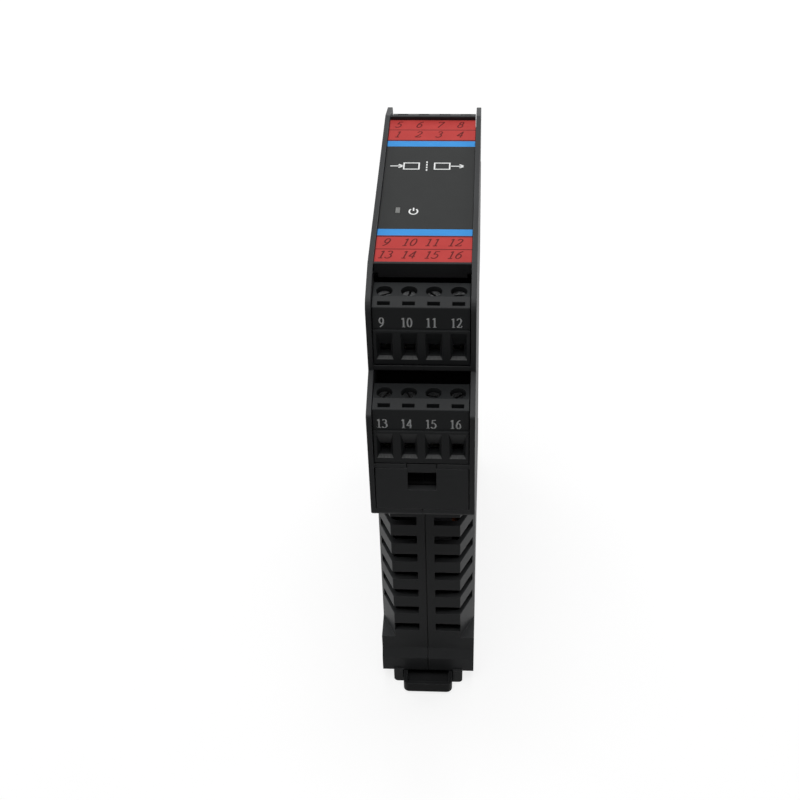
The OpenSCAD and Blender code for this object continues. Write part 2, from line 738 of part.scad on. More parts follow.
// Header that a plug's nose goes into, on the shelf of its tier
module header() color("#2a2c2e") {
    shroud_low = nose_low - nose_gap;
    shroud_high = nose_high + nose_gap;
    difference() {
        box([fit_gap - bay_half_w, header_front, shelf_top],
            [bay_half_w - fit_gap, header_back, header_h]);
        box([-nose_half_w - nose_gap, header_front - past, shroud_low],
            [nose_half_w + nose_gap, header_back - header_back_t, shroud_high]);
        for (i = [0 : poles - 1]) {
            translate([pole_x(i), header_end, contact_z])
                cube([pin_t + fit_gap, 4 * web_t + 4 * header_back_t, pin_t + fit_gap], center = true);
        }
    }
}

// Side view of a plug's front block, with the ledge under the numbers and the sloped brow
module plug_profile() {
    edge_r = 0.3;
    ledge_r = 0.15;
    polygon(outline([
        [0, 0, edge_r], [0, ledge_h, ledge_r], [ledge_d, ledge_h, 0], [ledge_d, brow_z, edge_r],
        [brow_d, plug_h, 0], [block_d, plug_h, edge_r], [block_d, 0, 0]]));
}

// Funnel of one wire entry: two tapers that cross
module wire_funnel() {
    rise = (throat_low - mouth_low) / funnel_d;
    fall = (mouth_high - throat_low - throat_h) / funnel_d;
    side = (mouth_w - throat_w) / 2 / funnel_d;
    wide = mouth_w / 2 + side * past;
    intersection() {
        along_x(-mouth_w, mouth_w) polygon([
            [-past, mouth_low - rise * past], [funnel_d, throat_low], [funnel_d, throat_low + throat_h],
            [-past, mouth_high + fall * past]]);
        linear_extrude(plug_h) polygon([
            [-wide, -past], [wide, -past], [throat_w / 2, funnel_d], [-throat_w / 2, funnel_d]]);
    }
}

// Room in a plug for one terminal: wire entry, clamp pocket, screw well, marker slot and contact cavity
module terminal_room() {
    wire_funnel();
    box([-throat_w / 2, funnel_d - join / 4, throat_low], [throat_w / 2, screw_y, throat_low + throat_h]);
    box([-pocket_w / 2, screw_y - pocket_d / 2, pocket_low],
        [pocket_w / 2, screw_y + pocket_d / 2, pocket_high]);
    translate([0, screw_y, head_low - head_gap]) cylinder(r = head_r + screw_gap, h = plug_h);
    translate([0, screw_y, pocket_high - join]) cylinder(r = shank_r + screw_gap, h = plug_h - pocket_high);
    box([-marker_w / 2, ledge_d + marker_in, brow_z - marker_deep],
        [marker_w / 2, ledge_d + marker_in + marker_d, plug_h + past]);
    box([-cavity_half, screw_y, contact_z - cavity_half],
        [cavity_half, nose_len_all + past, contact_z + cavity_half]);
}

// Moulded body of a terminal plug
module plug_body() color(PLUG) difference() {
    union() {
        along_x(-plug_half_w, plug_half_w) plug_profile();
        box([-nose_half_w, block_d - join, nose_low], [nose_half_w, nose_len_all, nose_high]);
    }
    for (i = [0 : poles - 1]) {
        translate([pole_x(i), 0, 0]) terminal_room();
    }
}

// Contacts of one plug: a bar inside each clamp, and a socket for the header's pin
module plug_contacts() color(BRASS) {
    bar_start = screw_y - clamp_d / 2 - clamp_gap / 2;
    for (i = [0 : poles - 1]) {
        translate([pole_x(i), 0, 0]) difference() {
            union() {
                box([-contact_half_w, bar_start, contact_low],
                    [contact_half_w, socket_front + join, contact_low + contact_t]);
                translate([-socket_w / 2, socket_front, contact_z - socket_h / 2])
                    cube([socket_w, socket_len, socket_h]);
            }
            translate([0, socket_front + socket_len / 2 + past, contact_z])
                cube([pin_t + 2 * pin_gap, socket_len, pin_t + 2 * pin_gap], center = true);
        }
    }
}

// Slotted clamp screw of a numbered terminal, with its slot at a turn of its own
module clamp_screw(number) color(STEEL) translate([0, screw_y, 0]) difference() {
    union() {
        translate([0, 0, head_low]) cylinder(r = head_r, h = head_h);
        translate([0, 0, shank_low]) cylinder(r = shank_r, h = head_low - shank_low + join);
    }
    translate([0, 0, head_low + head_h - driver_d]) rotate([0, 0, number * slot_turn])
        translate([-driver_w / 2, -2 * head_r, 0]) cube([driver_w, 4 * head_r, driver_d + past]);
}

// Rising clamp: a box open along the wire, with a threaded top
module clamp() color(STEEL) difference() {
    low = clamp_low();
    high = clamp_low() + clamp_h();
    inner = clamp_w / 2 - clamp_side_t;
    box([-clamp_w / 2, screw_y - clamp_d / 2, low], [clamp_w / 2, screw_y + clamp_d / 2, high]);
    box([-inner, screw_y - clamp_d, low + clamp_floor_t], [inner, screw_y + clamp_d, high - clamp_top_t]);
    translate([0, screw_y, low + clamp_floor_t]) cylinder(r = shank_r + thread_gap, h = plug_h);
}

// Rail latch: a slider with a hooked tip, a spring pocket and a pull tray at its outer end
module foot_latch() color(SHELL) {
    half = latch_w / 2;
    tip_low = hook_top - hook_t;
    body_end = -rail_half;
    tray_end = -latch_end_y + tray_len;
    difference() {
        union() {
            translate([0, 0, latch_low]) linear_extrude(latch_top - latch_low) polygon(outline([
                [-half, body_end, 0], [-half, -latch_end_y, tray_corner_r],
                [half, -latch_end_y, tray_corner_r], [half, body_end, 0]]));
            along_x(-half, half) polygon([
                [body_end - join, latch_top], [-hook_y, latch_top], [-hook_y, tip_low],
                [body_end - join, latch_low]]);
        }
        box([tray_wall_t - half, tray_wall_t - latch_end_y, latch_low + tray_floor_t],
            [half - tray_wall_t, tray_end, latch_top + past]);
        box([-spring_room, -post_y - latch_gap, latch_low + tray_floor_t],
            [spring_room, -spring_y + spring_len, latch_top + past]);
    }
}

// Points of the spring wire: a ring of points carried along a helix
function spring_point(turn, around) =
    let (out = [cos(turn), 0, sin(turn)], across = cos(around) * out + sin(around) * [0, 1, 0])
    let (along = turn / 360 / spring_turns * (spring_len - 2 * spring_wire_r - fit_gap))
    spring_r * out + [0, along, 0] + spring_wire_r * across;

// Latch spring
module latch_spring() color(STEEL) {
    sides = 6;
    rings = 14 * spring_turns;
    points = [for (i = [0 : rings]) for (j = [0 : sides - 1])
        spring_point(360 * spring_turns * i / rings, 360 * j / sides)];
    quads = [for (i = [0 : rings - 1]) for (j = [0 : sides - 1])
        let (k = i * sides, n = (j + 1) % sides)
        [k + j, k + n, k + sides + n, k + sides + j]];
    caps = [[for (j = [sides - 1 : -1 : 0]) j], [for (j = [0 : sides - 1]) rings * sides + j]];
    translate([0, -spring_y + spring_wire_r + fit_gap / 2, spring_z])
        polyhedron(points, concat(quads, caps), convexity = 10);
}

// Transformer: two E-shaped core halves with a small air gap, through a wound bobbin
core_y = -15;
core_z = 30;
core_x = board_face - winding_t - core_t / 2;
window_gap = winding_t + fit_gap;
core_half_l = core_leg_w / 2 + window_gap + core_side_w;
module transformer_core() color("#3a3b3d") {
    air = 0.05;
    arm = core_l / 2 - core_side_w;
    for (end = [0, 1]) {
        translate([core_x - core_t / 2, core_y, core_z]) mirror([0, 0, end]) along_x(0, core_t)
            polygon([
                [-core_half_l, air], [core_side_w - core_half_l, air], [core_side_w - core_half_l, arm],
                [-core_leg_w / 2, arm], [-core_leg_w / 2, air], [core_leg_w / 2, air], [core_leg_w / 2, arm],
                [core_half_l - core_side_w, arm], [core_half_l - core_side_w, air], [core_half_l, air],
                [core_half_l, core_l / 2], [-core_half_l, core_l / 2]]);
    }
}
module transformer_coil() color("#b5803a") {
    half_x = core_t / 2 + winding_t;
    half_y = core_leg_w / 2 + winding_t;
    height = core_l - 2 * core_side_w - 2 * fit_gap;
    flange_t = 0.8;
    groove = 0.5;
    turn_r = 2;
    translate([core_x, core_y, core_z]) difference() {
        union() {
            translate([0, 0, -height / 2]) linear_extrude(height) polygon(outline([
                [groove - half_x, groove - half_y, turn_r], [half_x - groove, groove - half_y, turn_r],
                [half_x - groove, half_y - groove, turn_r], [groove - half_x, half_y - groove, turn_r]]));
            for (z = [-height / 2, height / 2 - flange_t]) {
                translate([-half_x, -half_y, z]) cube([2 * half_x, 2 * half_y, flange_t]);
            }
        }
        cube([core_t + 2 * fit_gap, core_leg_w + 2 * fit_gap, height + 2 * past], center = true);
    }
}

// Isolator chips with their legs, in two rows on the board
CHIPS = [[-16, 52], [-16, 66], [4, 52], [4, 66]];
module isolator_chips() color("#1c1c1e") {
    lead_pitch = 2.54;
    lead_w = 0.6;
    for (p = CHIPS) {
        translate([board_face, p[0], p[1]]) {
            box([-chip_stand - chip_h, -chip_l / 2, -chip_w / 2], [-chip_stand, chip_l / 2, chip_w / 2]);
            for (side = [-1, 1]) {
                for (k = [-1.5 : 1 : 1.5]) {
                    lead = chip_stand + chip_h / 2;
                    translate([-lead, k * lead_pitch - lead_w / 2, side * chip_w / 2 - lead_w / 2])
                        cube([lead, lead_w, lead_w]);
                }
            }
        }
    }
}

// Electrolytic capacitors, standing off the board
CAPACITORS = [[12, 24], [26, 24], [22, 40]];
module filter_capacitors() color("#20365c") {
    crimp_z = cap_h * 0.12;
    crimp = 0.35;
    for (p = CAPACITORS) {
        translate([board_face, p[0], p[1]]) rotate([0, -90, 0]) rotate_extrude() polygon([
            [0, 0], [cap_r, 0], [cap_r, crimp_z], [cap_r - crimp, crimp_z + crimp],
            [cap_r, crimp_z + 2 * crimp], [cap_r, cap_h - crimp], [cap_r - crimp, cap_h], [0, cap_h]]);
    }
}

left_shell();
right_shell();
front_cover();
front_label();
light_pipe();
end_plate();  // end_plate_near
rotate([0, 0, 180]) end_plate();  // end_plate_far
main_board();
header_pins();
transformer_core();
transformer_coil();
isolator_chips();
filter_capacitors();
power_led();
foot_latch();
latch_spring();
for (bank = [0 : len(BANKS) - 1]) {
    at_bank(bank) header();
    at_bank(bank) plug_body();
    at_bank(bank) plug_contacts();
}
for (number = TERMINALS) {
    at_terminal(number) clamp_screw(number);
    at_terminal(number) clamp();
}
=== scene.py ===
import math

import bpy
import numpy as np
from mathutils import Matrix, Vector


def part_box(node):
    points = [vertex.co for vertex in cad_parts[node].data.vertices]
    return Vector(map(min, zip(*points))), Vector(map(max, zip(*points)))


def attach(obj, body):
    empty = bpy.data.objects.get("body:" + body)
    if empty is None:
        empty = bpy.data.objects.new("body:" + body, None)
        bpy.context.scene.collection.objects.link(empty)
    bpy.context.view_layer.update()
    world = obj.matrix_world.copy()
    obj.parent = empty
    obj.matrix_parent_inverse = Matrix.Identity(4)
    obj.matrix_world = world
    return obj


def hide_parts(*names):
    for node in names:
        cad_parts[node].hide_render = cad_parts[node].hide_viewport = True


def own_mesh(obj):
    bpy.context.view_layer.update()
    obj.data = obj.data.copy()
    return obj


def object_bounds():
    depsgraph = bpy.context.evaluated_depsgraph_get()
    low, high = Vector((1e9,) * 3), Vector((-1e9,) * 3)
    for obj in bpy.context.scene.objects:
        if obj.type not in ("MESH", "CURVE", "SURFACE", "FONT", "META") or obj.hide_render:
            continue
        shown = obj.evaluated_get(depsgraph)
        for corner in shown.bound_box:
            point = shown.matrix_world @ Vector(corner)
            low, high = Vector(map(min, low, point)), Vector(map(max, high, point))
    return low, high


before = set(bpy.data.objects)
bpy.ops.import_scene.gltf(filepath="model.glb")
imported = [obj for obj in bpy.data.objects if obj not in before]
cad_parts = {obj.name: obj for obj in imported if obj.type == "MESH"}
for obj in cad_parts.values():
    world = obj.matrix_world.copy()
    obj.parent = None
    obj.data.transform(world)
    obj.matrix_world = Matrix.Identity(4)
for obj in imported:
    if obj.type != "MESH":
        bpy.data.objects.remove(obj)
cad_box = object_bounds()


# Housing shells: two half shells moulded in black glass-filled nylon, clipped together along the middle.
# The mould leaves a fine spark-eroded grain. Edges are painted a little paler: partly wear, partly painted
# highlight.
class Shade:
    """A shader socket that takes part in sums. Each operator adds one Math node to its tree."""

    def __init__(self, tree, socket):
        self.tree = tree
        self.socket = socket

    def node(self, kind, settings=None, sockets=None, out=0):
        """Adds a node of that kind. Its settings come first, then the values or links of its sockets."""
        made = self.tree.nodes.new(kind)
        for name, value in (settings or {}).items():
            setattr(made, name, value)
        for name, value in (sockets or {}).items():
            if isinstance(value, Shade):
                self.tree.links.new(value.socket, made.inputs[name])
            else:
                made.inputs[name].default_value = value
        return Shade(self.tree, made.outputs[out])

    def math(self, operation, first, second=0.0):
        return self.node("ShaderNodeMath", {"operation": operation}, {0: first, 1: second})

    def __add__(self, other):
        return self.math("ADD", self, other)

    def __radd__(self, other):
        return self.math("ADD", other, self)

    def __sub__(self, other):
        return self.math("SUBTRACT", self, other)

    def __rsub__(self, other):
        return self.math("SUBTRACT", other, self)

    def __mul__(self, other):
        return self.math("MULTIPLY", self, other)

    def __lt__(self, other):
        return self.math("LESS_THAN", self, other)

    def __gt__(self, other):
        return self.math("GREATER_THAN", self, other)

    def __abs__(self):
        return self.math("ABSOLUTE", self)

    def between(self, low, high):
        """1 where the value lies from low to high, and 0 elsewhere."""
        return (self > low) * (self < high)

    def noise(self, size, detail=3.0):
        """Cloudy values from 0 to 1 whose patches are about that size in metres."""
        return self.node("ShaderNodeTexNoise", None, {"Vector": self, "Scale": 1 / size, "Detail": detail})

    def axis(self, name):
        """The X, Y or Z share of a vector."""
        return self.node("ShaderNodeSeparateXYZ", None, {0: self}, out=name)

    def bump(self, strength, depth, **sockets):
        """A normal that follows this value as a height, where a value of 1 is depth metres high."""
        return self.node("ShaderNodeBump", None, {"Strength": strength, "Distance": depth, "Height": self,
                                                  **sockets})

    def blend(self, first, second):
        """A colour that goes from first to second as this value goes from 0 to 1."""
        return self.node("ShaderNodeMix", {"data_type": "RGBA"}, {0: self, 6: first, 7: second}, out=2)

    def feed(self, socket):
        self.tree.links.new(self.socket, socket)


def tone(red, green, blue):
    """A colour as a screen shows it, 0 to 255, worked out as linear light."""
    share = np.array([red, green, blue]) / 255
    linear = np.where(share > 0.04045, ((share + 0.055) / 1.055) ** 2.4, share / 12.92)
    return (*linear.tolist(), 1.0)


def new_finish(name, **constants):
    """A material with one Principled shader, whose constant sockets are set here.
    Gives the material, its shader and the surface's own coordinates."""
    material = bpy.data.materials.new(name)
    material.use_nodes = True
    shader = material.node_tree.nodes["Principled BSDF"]
    for socket, value in constants.items():
        shader.inputs[socket.replace("_", " ")].default_value = value
    place = Shade(material.node_tree, None).node("ShaderNodeTexCoord", None, None, out="Object")
    return material, shader, place


def moulded(name, deep, pale_tone, grain, rough, edge_radius, **constants):
    """Moulded plastic: cloudy colour from a deep to a pale tone, spark-eroded grain as bump, and softened
    edges that are a little glossier and painted paler, partly as wear and partly as a painted highlight."""
    cloud_size, grain_depth, edge_gain = 0.009, grain * 0.08, 5
    cloud_tone, speck_tone, edge_wear_highlight_tone = 0.3, 0.15, 0.6
    cloud_rough, speck_rough, edge_gloss = 0.12, 0.1, 0.06
    material, shader, place = new_finish(name, **constants)
    cloud = place.noise(cloud_size)
    speck = place.noise(grain, detail=2.0)
    rounded = place.node("ShaderNodeBevel", {"samples": 6}, {"Radius": edge_radius})
    flat = place.node("ShaderNodeNewGeometry", None, None, out="Normal")
    along = place.node("ShaderNodeVectorMath", {"operation": "DOT_PRODUCT"}, {0: rounded, 1: flat},
                       out="Value")
    edge_wear_and_highlight = place.math("MINIMUM", (1 - along) * edge_gain, 1.0)
    # The paler tone on edges is partly wear and partly a painted highlight standing in for the light that
    # edges catch.
    share = place.math("MINIMUM", cloud * cloud_tone + speck * speck_tone + edge_wear_and_highlight * edge_wear_highlight_tone, 1.0)
    share.blend(deep, pale_tone).feed(shader.inputs["Base Color"])
    uneven = rough + (cloud - 0.5) * cloud_rough + (speck - 0.5) * speck_rough - edge_wear_and_highlight * edge_gloss
    uneven.feed(shader.inputs["Roughness"])
    speck.bump(strength=0.3, depth=grain_depth, Normal=rounded).feed(shader.inputs["Normal"])
    return material


def dress(material, *nodes):
    """Gives CAD nodes a material in place of the plain one that they come with."""
    for node in nodes:
        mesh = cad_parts[node].data
        mesh.materials.clear()
        mesh.materials.append(material)


shell_black = moulded("shell_nylon", tone(44, 45, 46), tone(78, 79, 80), grain=0.00022, rough=0.46,
                      edge_radius=0.00022, Specular_IOR_Level=0.09)
dress(shell_black, "left_shell", "right_shell")


# Circuit board: green laminate with tracks under its lacquer, on edge against the right shell's pads.
# The headers are soldered along its stepped edge, with their pins bent over to it.
board_green, shader, place = new_finish("board_lacquer", Coat_Weight=0.3, Coat_Roughness=0.2)
weave_scale, track_scale, track_gap = 900.0, 90.0, 0.02
weave = place.node("ShaderNodeTexVoronoi", None, {"Vector": place, "Scale": weave_scale})
tracks = place.node("ShaderNodeTexBrick", {"offset": 0.5}, {
    "Vector": place.node("ShaderNodeMapping", None, {"Vector": place, "Rotation": (0.0, math.pi / 2, 0.0)}),
    "Color1": (1, 1, 1, 1), "Color2": (0.7, 0.7, 0.7, 1), "Mortar": (0, 0, 0, 1), "Scale": track_scale,
    "Mortar Size": track_gap}, out=1)
(tracks * 0.7 + weave * 0.3).blend(tone(24, 74, 46), tone(44, 112, 66)).feed(shader.inputs["Base Color"])
(0.42 + weave * 0.15).feed(shader.inputs["Roughness"])
dress(board_green, "main_board")

header_black = moulded("header_nylon", tone(20, 20, 21), tone(40, 41, 42), grain=0.00015, rough=0.5,
                       edge_radius=0.00012, Specular_IOR_Level=0.4)
dress(header_black, "header_1_4", "header_5_8", "header_9_12", "header_13_16")


def drawn_metal(name, dull, bright, rough, grain):
    """Drawn or rolled metal: fine streaks of tone from dull to bright, with the same streaks
    in its roughness."""
    cloud_size, streak_depth, stretch = 0.0012, grain * 0.1, 0.12
    streak_rough, cloud_rough = 0.22, 0.16
    material, shader, place = new_finish(name, Metallic=1.0)
    stretched = place.node("ShaderNodeMapping", None, {"Vector": place, "Scale": (1.0, 1.0, stretch)})
    streak = stretched.noise(grain, detail=4.0)
    cloud = place.noise(cloud_size)
    (streak * 0.5 + cloud * 0.5).blend(dull, bright).feed(shader.inputs["Base Color"])
    uneven = rough + (streak - 0.5) * streak_rough + (cloud - 0.5) * cloud_rough
    uneven.feed(shader.inputs["Roughness"])
    streak.bump(strength=0.15, depth=streak_depth).feed(shader.inputs["Normal"])
    return material


pin_tin = drawn_metal("pin_tin", tone(150, 140, 110), tone(214, 204, 170), rough=0.34, grain=0.0002)
dress(pin_tin, "header_pins")

# Isolating transformer: two sintered ferrite halves through a bobbin wound with enamelled copper wire.
# The turns show as fine rings round the bobbin.
ferrite, shader, place = new_finish("ferrite_grey", Specular_IOR_Level=0.4)
sinter_size, sinter_depth = 0.0004, 0.00004
sinter = place.noise(sinter_size, detail=6.0)
sinter.blend(tone(40, 40, 43), tone(76, 75, 78)).feed(shader.inputs["Base Color"])
(0.5 + sinter * 0.3).feed(shader.inputs["Roughness"])
sinter.bump(strength=0.4, depth=sinter_depth).feed(shader.inputs["Normal"])
dress(ferrite, "transformer_core")

copper, shader, place = new_finish("enamelled_copper", Metallic=0.8, Coat_Weight=0.5)
turn_scale, turn_depth = 620.0, 0.0001
turns = place.node("ShaderNodeTexWave", {"bands_direction": "Z"},
                   {"Vector": place, "Scale": turn_scale, "Distortion": 0.4})
turns.blend(tone(66, 32, 16), tone(128, 70, 34)).feed(shader.inputs["Base Color"])
(0.5 - turns * 0.2).feed(shader.inputs["Roughness"])
turns.bump(strength=0.8, depth=turn_depth).feed(shader.inputs["Normal"])
dress(copper, "transformer_coil")

# Chips and capacitors: moulded black packages and sleeved aluminium cans, soldered flat on the board.
# They sit behind the vents, where only a glint of them shows.
chip_black = moulded("chip_epoxy", tone(22, 22, 24), tone(46, 46, 48), grain=0.0003, rough=0.6,
                     edge_radius=0.00008, Specular_IOR_Level=0.4)
dress(chip_black, "isolator_chips")

sleeve, shader, place = new_finish("capacitor_sleeve", Coat_Weight=0.4, Coat_Roughness=0.15)
bare_top = 0.0004
can_top = place.axis("X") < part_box("filter_capacitors")[0][0] + bare_top
wrinkle = place.noise(size=0.0006)
can_top.blend((wrinkle * 0.4).blend(tone(28, 44, 84), tone(66, 92, 150)), tone(188, 190, 194)).feed(
    shader.inputs["Base Color"])
(0.36 + wrinkle * 0.12).feed(shader.inputs["Roughness"])
can_top.feed(shader.inputs["Metallic"])
dress(sleeve, "filter_capacitors")

# Lamp and light pipe: a small lamp on the board, and a clear acrylic bar that brings its light
# to the panel. The lamp is off, so the window is a dull grey pane.
pane, shader, place = new_finish("pipe_acrylic", IOR=1.49)
haze = place.noise(size=0.0005)
haze.blend(tone(86, 87, 86), tone(118, 119, 117)).feed(shader.inputs["Base Color"])
(0.3 + haze * 0.2).feed(shader.inputs["Roughness"])
dress(pane, "light_pipe")

lamp_resin, shader, place = new_finish("lamp_resin", IOR=1.5)
cast = place.noise(size=0.0004)
cast.blend(tone(190, 196, 150), tone(222, 226, 190)).feed(shader.inputs["Base Color"])
(0.2 + cast * 0.15).feed(shader.inputs["Roughness"])
dress(lamp_resin, "power_led")

# Front cover: a flat moulded panel that snaps in between the walls, with a raised lip and a skirt
# at each end. It has the same grain as the shells.
cover_black = moulded("cover_nylon", tone(36, 36, 37), tone(66, 67, 68), grain=0.00022, rough=0.5,
                      edge_radius=0.0002, Specular_IOR_Level=0.08)
dress(cover_black, "front_cover")

# Front label: printed polyester film glued into the cover's bed. A grey panel lies between blue strips,
# with two red rows of terminal numbers at each end.
label_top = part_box("front_label")[1][2]
label_film, shader, place = new_finish("label_film", Specular_IOR_Level=0.1)
print_y = 0.00055
panel_end = 0.0168
strip_end = 0.0192
row_line = 0.0242
line_half, edge_line, line_cover = 0.00013, 0.00052, 0.9
mottle_size, dust_size, film_depth = 0.0035, 0.00055, 0.00003
dust_level = 0.735
film_y = abs(place.axis("Y") - print_y)
on_strip = film_y.between(panel_end, strip_end)
on_rows = film_y > strip_end
on_line = film_y.between(row_line - line_half, row_line + line_half)
on_line = place.math("MAXIMUM", on_line, film_y.between(strip_end, strip_end + edge_line))
mottle = place.noise(mottle_size, detail=5.0)
dust = place.noise(dust_size, detail=1.0) > dust_level
grey = (mottle * 0.6 + dust * 0.25).blend(tone(38, 39, 39), tone(56, 57, 57))
blue = (mottle * 0.7 + dust * 0.2).blend(tone(56, 136, 206), tone(78, 156, 222))
red = (mottle * 0.8 + dust * 0.2).blend(tone(168, 54, 52), tone(190, 71, 68))
printed = on_rows.blend(on_strip.blend(grey, blue), red)
(on_line * line_cover).blend(printed, tone(70, 20, 22)).feed(shader.inputs["Base Color"])
(0.55 + (mottle - 0.5) * 0.2 - on_rows * 0.06).feed(shader.inputs["Roughness"])
(mottle + dust * 0.3).bump(strength=0.12, depth=film_depth).feed(shader.inputs["Normal"])
dress(label_film, "front_label")


def ellipse(x, y, wide, high, start, stop):
    """Points of an elliptical arc: centre plus (wide cos a, high sin a), with a from start to stop
    in degrees."""
    arc_points = 25
    a = np.radians(np.linspace(start, stop, arc_points))
    return np.stack([x + wide * np.cos(a), y + high * np.sin(a)], axis=1)


def bend(first, handle, last):
    """Points of a quadratic curve: (1-t)^2 first + 2t(1-t) handle + t^2 last."""
    curve_points = 13
    t = np.linspace(0, 1, curve_points)[:, None]
    return (1 - t) ** 2 * np.array(first) + 2 * t * (1 - t) * np.array(handle) + t ** 2 * np.array(last)


def line(*points):
    return np.array(points, float)


# Strokes of each figure in a cell half as wide as it is high
FIGURES = {
    "0": [ellipse(0.25, 0.5, 0.19, 0.48, 90, 450)],
    "1": [line((0.27, 0.0), (0.27, 1.0)), line((0.11, 0.85), (0.27, 0.98)),
          line((0.11, 0.02), (0.43, 0.02))],
    "2": [np.concatenate([ellipse(0.23, 0.74, 0.18, 0.24, 165, -20),
                          bend((0.38, 0.6), (0.3, 0.36), (0.04, 0.04))]),
          line((0.04, 0.04), (0.44, 0.04), (0.47, 0.2))],
    "3": [ellipse(0.21, 0.76, 0.17, 0.22, 155, -85), ellipse(0.2, 0.28, 0.23, 0.27, 85, -150)],
    "4": [line((0.35, 0.0), (0.35, 1.0)), line((0.35, 0.97), (0.03, 0.29)),
          line((0.02, 0.29), (0.48, 0.29))],
    "5": [line((0.44, 0.97), (0.14, 0.95), (0.09, 0.56)), ellipse(0.2, 0.32, 0.23, 0.3, 125, -145)],
    "6": [ellipse(0.26, 0.31, 0.18, 0.3, 90, 450), bend((0.43, 0.99), (0.1, 0.86), (0.08, 0.31))],
    "7": [line((0.04, 0.8), (0.06, 0.96), (0.47, 0.96)), line((0.47, 0.96), (0.2, 0.0))],
    "8": [ellipse(0.25, 0.76, 0.15, 0.22, 90, 450), ellipse(0.25, 0.27, 0.19, 0.26, 90, 450)],
    "9": [ellipse(0.24, 0.69, 0.18, 0.3, 90, 450), bend((0.07, 0.01), (0.4, 0.14), (0.42, 0.69))],
}


def skin(rings):
    """Points and faces of a closed solid from rings with an even number of points, with a cap at each end.
    Each ring turns right-handed about the way from ring to ring, so that the faces look outwards."""
    count, sides, _ = rings.shape
    ring = np.arange(sides)
    after = (ring + 1) % sides
    step = np.arange(count - 1)[:, None] * sides
    walls = np.stack([step + ring, step + after, step + sides + after, step + sides + ring], axis=2)
    cap = np.array([[0, k, k + 1, k + 2] for k in range(1, sides - 2, 2)])
    faces = [walls.reshape(-1, 4), cap[:, ::-1], cap + (count - 1) * sides]
    return rings.reshape(-1, 3), np.concatenate(faces)


def inked(path, thin, thick, height):
    """A raised ribbon of ink along a path, as a closed solid with a four-cornered section.
    Its half-width is thin plus (thick - thin) times the upright share of the path's direction,
    as a pen gives."""
    ahead = np.gradient(path, axis=0)
    ahead /= np.linalg.norm(ahead, axis=1, keepdims=True)
    side = np.stack([-ahead[:, 1], ahead[:, 0]], axis=1)
    half = (thin + (thick - thin) * np.abs(ahead[:, 1]))[:, None]
    left, right = path + side * half, path - side * half
    low, high = np.zeros((len(path), 1)), np.full((len(path), 1), height)
    return skin(np.stack([np.hstack([left, low]), np.hstack([left, high]), np.hstack([right, high]),
                          np.hstack([right, low])], axis=1))


def add_piece(name, marks, body, material):
    """Joins the solids in marks, each its points in the frame and its faces, into one piece on a body."""
    counts = np.cumsum([0] + [len(points) for points, _ in marks])
    points = np.concatenate([points for points, _ in marks])
    faces = np.concatenate([faces + start for (_, faces), start in zip(marks, counts)])
    mesh = bpy.data.meshes.new(name)
    mesh.from_pydata(points.tolist(), [], faces.tolist())
    mesh.update()
    piece = bpy.data.objects.new(name, mesh)
    bpy.context.scene.collection.objects.link(piece)
    mesh.materials.append(material)
    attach(piece, body)
    return piece


def on_face(points, origin, right, up):
    """Points drawn as (right, up, out) placed on a face: origin plus each share times its direction."""
    out = np.cross(right, up)
    return np.array(origin) + points @ np.array([right, up, out], float)


def figures(text, middle, right, up, cell_w, cell_h, thin, thick, slant, ink_h):
    """A row of figures centred on a point of a face, with strokes that lean by slant times their height.
    Strokes that cross differ a little in height, so that no two faces share a plane."""
    advance, layer_rise = cell_w * 1.12, 0.06
    marks = []
    for index, figure in enumerate(text):
        for layer, stroke in enumerate(FIGURES[figure]):
            path = stroke * [cell_w * 2, cell_h]
            path[:, 0] += slant * path[:, 1] + (index - len(text) / 2) * advance
            path[:, 1] -= cell_h / 2
            path[:, 0] -= slant * cell_h / 2
            points, faces = inked(path, thin, thick, ink_h * (1 + layer_rise * layer))
            marks.append((on_face(points, middle, right, up), faces))
    return marks


def ink(name, deep, pale, rough):
    """Screen-printing ink: slightly uneven in tone and gloss."""
    material, shader, place = new_finish(name, Specular_IOR_Level=0.1)
    patch_size = 0.0006
    uneven = place.noise(patch_size, detail=4.0)
    uneven.blend(deep, pale).feed(shader.inputs["Base Color"])
    (rough + (uneven - 0.5) * 0.2).feed(shader.inputs["Roughness"])
    return material


# Label print: thin slanted terminal numbers in dark ink on the red rows, in the order of the terminals
# that they name. They are upright for someone at the near end.
dark_ink = ink("row_ink", tone(84, 24, 25), tone(108, 34, 33), rough=0.5)
row_y = {1: print_y + 0.0222, 5: print_y + 0.0266, 9: print_y - 0.0217, 13: print_y - 0.0262}
row_pitch = 0.0048
row_shift = -0.0005
poles = 4
middle_pole = (poles - 1) / 2
ink_height = 0.00002
across, away = np.array([1.0, 0, 0]), np.array([0, 1.0, 0])
row_marks = []
for first, y in row_y.items():
    for pole in range(poles):
        spot = ((pole - middle_pole) * row_pitch + row_shift, y, label_top)
        row_marks += figures(str(first + pole), spot, across, away, cell_w=0.0014, cell_h=0.0026,
                             thin=0.00013, thick=0.00016, slant=0.28, ink_h=ink_height)
add_piece("label_numbers", row_marks, "housing", dark_ink)

# Label symbols: a plain drawing of an isolated path above, two boxes with a dashed barrier between them,
# and a plain on-off sign beside the lamp's window. Both are white ink.
white_ink = ink("sign_ink", tone(216, 218, 218), tone(242, 243, 242), rough=0.5)
stroke_half = 0.00016
sign_y, sign_half_h = 0.0089, 0.0013
box_lefts, box_w = (-0.0058, 0.0011), 0.0034
arrow_starts, arrow_l = (-0.0089, 0.0048), 0.0028
head_l, head_half = 0.0009, 0.0007
barrier_x, barrier_reach, dashes, dash_half = -0.00065, 1.25, 4, 0.00035
switch_x, switch_y = -0.0028, -0.0095
switch_wide, switch_high = 0.0009, 0.0011
switch_from, switch_to = 130, 410
bar_low, bar_high = 0.0002, 0.0014


def sign(path):
    points, faces = inked(path, stroke_half, stroke_half, ink_height)
    return on_face(points, (0, 0, label_top), across, away), faces


